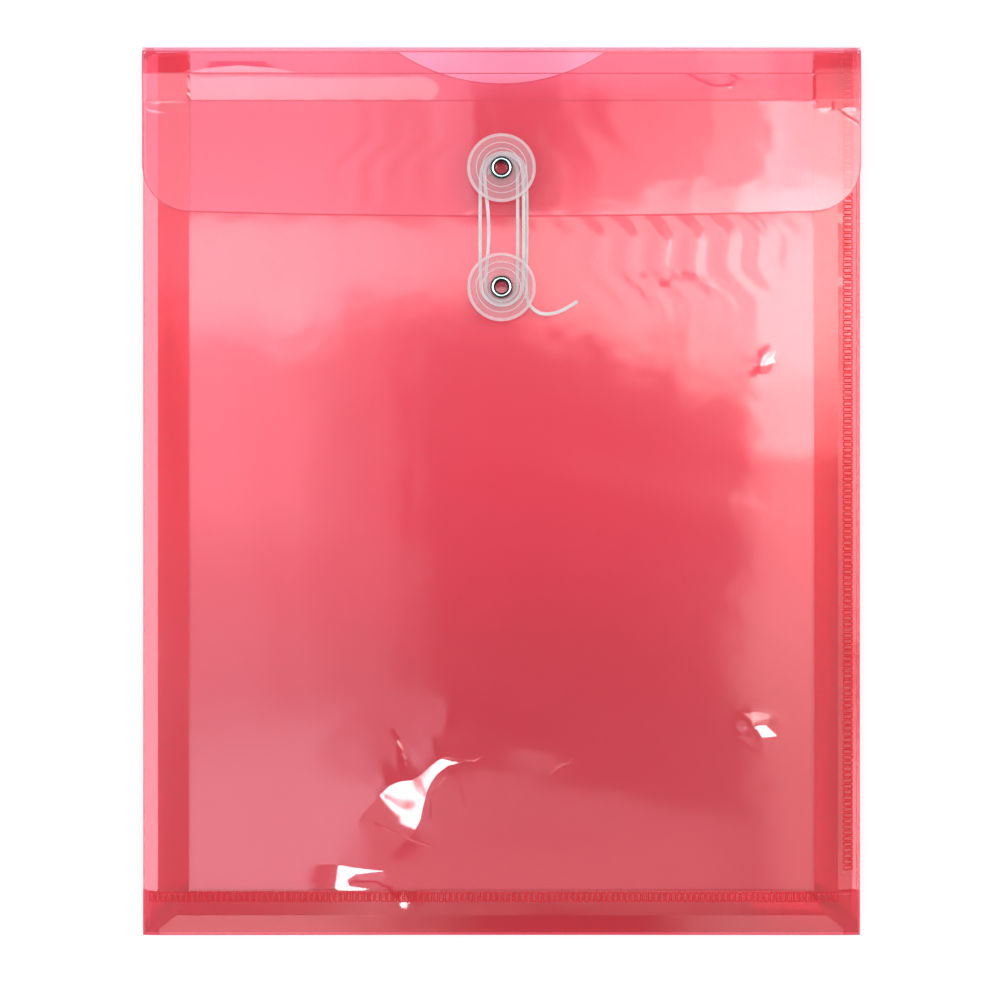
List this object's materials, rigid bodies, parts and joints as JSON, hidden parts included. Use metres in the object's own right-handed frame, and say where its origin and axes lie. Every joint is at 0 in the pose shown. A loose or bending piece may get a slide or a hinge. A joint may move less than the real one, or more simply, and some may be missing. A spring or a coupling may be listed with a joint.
{
  "type": "string tie envelope",
  "caption": "Translucent film document envelope with folding side and bottom gussets, a fold-over flap, and a cord wound round riveted plastic discs to tie it shut.",
  "frame": {"origin": "centre of the back panel's outer face, on which the envelope lies", "axes": "+X to the right as seen from the front, +Y along the height towards the flap, +Z out of the front panel"},
  "size_m": [0.2414, 0.2986, 0.0138],
  "materials": {
    "film": "glossy translucent pink polypropylene film",
    "disc": "clear moulded plastic, slightly frosted",
    "eyelet": "bright nickel plate",
    "string": "white braided cotton cord"
  },
  "bodies": {
    "back": {"back_panel": "film"},
    "front": {"front_panel": "film", "side_seam_tab": "film", "lower_eyelet": "eyelet", "lower_washer": "disc"},
    "left_back_leaf": {"left_gusset_back_leaf": "film"},
    "left_front_leaf": {"left_gusset_front_leaf": "film"},
    "right_back_leaf": {"right_gusset_back_leaf": "film"},
    "right_front_leaf": {"right_gusset_front_leaf": "film"},
    "bottom_back_leaf": {"bottom_gusset_back_leaf": "film"},
    "bottom_front_leaf": {"bottom_gusset_front_leaf": "film"},
    "fold_wall": {"flap_fold_wall": "film"},
    "fold_crease": {"flap_fold_crease": "film"},
    "flap": {"flap_panel": "film", "upper_eyelet": "eyelet", "upper_washer": "disc", "string_winding": "string", "string_tail": "string"},
    "upper_disc": {"upper_disc": "disc"},
    "lower_disc": {"lower_disc": "disc"}
  },
  "joints": [
    {"name": "pocket_expand", "type": "slide", "parent": "back", "child": "front", "axis": [0, 0, 1], "range_m": [-0.0048, 0.0236], "stiffness_N_per_m": 200, "springref_m": 0.001},
    {"name": "left_back_crease", "type": "hinge", "parent": "back", "child": "left_back_leaf", "pos_m": [-0.12065, 0, 0.00035], "axis": [0, -1, 0], "range_deg": [-8.9, 43.3]},
    {"name": "left_front_crease", "type": "hinge", "parent": "front", "child": "left_front_leaf", "pos_m": [-0.12065, 0, 0.00645], "axis": [0, 1, 0], "range_deg": [-8.9, 43.3]},
    {"name": "right_back_crease", "type": "hinge", "parent": "back", "child": "right_back_leaf", "pos_m": [0.12065, 0, 0.00035], "axis": [0, 1, 0], "range_deg": [-8.9, 43.3]},
    {"name": "right_front_crease", "type": "hinge", "parent": "front", "child": "right_front_leaf", "pos_m": [0.12065, 0, 0.00625], "axis": [0, -1, 0], "range_deg": [-8.9, 43.3]},
    {"name": "bottom_back_crease", "type": "hinge", "parent": "back", "child": "bottom_back_leaf", "pos_m": [0, -0.14925, 0.00035], "axis": [1, 0, 0], "range_deg": [-9.2, 45.1]},
    {"name": "bottom_front_crease", "type": "hinge", "parent": "front", "child": "bottom_front_leaf", "pos_m": [0, -0.14925, 0.00645], "axis": [-1, 0, 0], "range_deg": [-9.2, 45.1]},
    {"name": "flap_fold_tip", "type": "hinge", "parent": "back", "child": "fold_wall", "pos_m": [0, 0.14925, 0.0002], "axis": [-1, 0, 0], "range_deg": [0, 86]},
    {"name": "flap_fold_climb", "type": "slide", "parent": "fold_wall", "child": "fold_crease", "axis": [0, 0, 1], "range_m": [-0.0048, 0.0236], "deforming": ["flap_fold_wall"]},
    {"name": "flap_open", "type": "hinge", "parent": "fold_crease", "child": "flap", "pos_m": [0, 0.14845, 0.0079], "axis": [-1, 0, 0], "range_deg": [0, 86], "deforming": ["string_winding", "string_tail"]},
    {"name": "upper_disc_spin", "type": "hinge", "parent": "flap", "child": "upper_disc", "pos_m": [0, 0.10805, 0.0122], "axis": [0, 0, 1], "continuous": true},
    {"name": "lower_disc_spin", "type": "hinge", "parent": "front", "child": "lower_disc", "pos_m": [0, 0.06835, 0.011], "axis": [0, 0, 1], "continuous": true}
  ],
  "couplings": [
    {"joint": "left_back_crease", "follows": "pocket_expand", "rad_per_m": 31.946},
    {"joint": "left_front_crease", "follows": "pocket_expand", "rad_per_m": 31.946},
    {"joint": "right_back_crease", "follows": "pocket_expand", "rad_per_m": 31.91},
    {"joint": "right_front_crease", "follows": "pocket_expand", "rad_per_m": 31.91},
    {"joint": "bottom_back_crease", "follows": "pocket_expand", "rad_per_m": 33.241},
    {"joint": "bottom_front_crease", "follows": "pocket_expand", "rad_per_m": 33.241},
    {"joint": "flap_fold_climb", "follows": "pocket_expand", "ratio": 1},
    {"joint": "flap_fold_tip", "follows": "flap_open", "ratio": 1}
  ]
}
